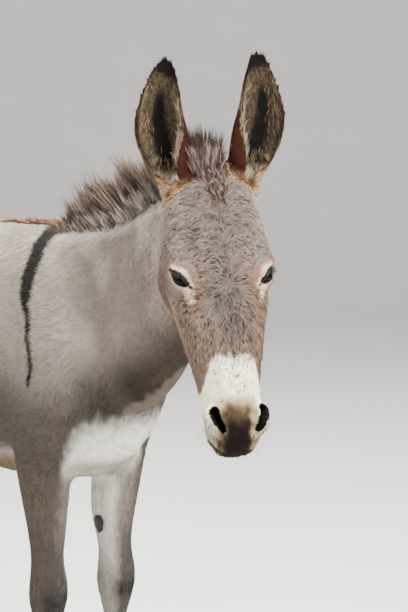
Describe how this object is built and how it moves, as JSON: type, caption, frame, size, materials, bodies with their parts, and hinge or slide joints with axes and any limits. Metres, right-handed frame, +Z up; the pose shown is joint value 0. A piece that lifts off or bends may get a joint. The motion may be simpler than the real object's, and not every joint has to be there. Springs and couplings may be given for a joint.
{
  "type": "donkey, life-size still model",
  "caption": "Life-size standing donkey with its head turned to one side, as a still museum model; rests on its hooves.",
  "frame": {"origin": "on the floor, under the middle of the whole model's box", "axes": "+Z up; the body faces -Y, its left side is +X and its tail is towards +Y; the head is turned to its right"},
  "size_m": [0.4562, 1.595, 1.3987],
  "materials": {
    "coat": "short dense grey-brown hair lying along the body",
    "dark_coat": "short grey hair, darker over the knees and fetlocks",
    "pale_nose": "very short cream hair, dark bare skin at the nostrils and lips",
    "ear": "short rufous hair with a black rim and pale hair inside",
    "dark_hair": "long coarse dark hair with paler tips",
    "hoof": "ridged dark grey-brown horn",
    "eye": "wet dark brown eyeball"
  },
  "bodies": {
    "root": {"head": "coat", "muzzle": "pale_nose", "chin": "pale_nose", "eye_left": "eye", "eye_right": "eye", "ear_left": "ear", "ear_right": "ear", "mane": "dark_hair", "mane_tuft": "dark_hair", "neck": "coat", "trunk_shoulders": "coat", "trunk_barrel": "coat", "trunk_hindquarters": "coat", "tail": "coat", "tail_switch": "dark_hair", "leg_fore_left_upper": "coat", "leg_fore_left_lower": "dark_coat", "leg_fore_right_upper": "coat", "leg_fore_right_lower": "dark_coat", "leg_hind_left_upper": "coat", "leg_hind_left_lower": "dark_coat", "leg_hind_right_upper": "coat", "leg_hind_right_lower": "dark_coat", "hoof_fore_left": "hoof", "hoof_fore_right": "hoof", "hoof_hind_left": "hoof", "hoof_hind_right": "hoof"}
  },
  "joints": []
}
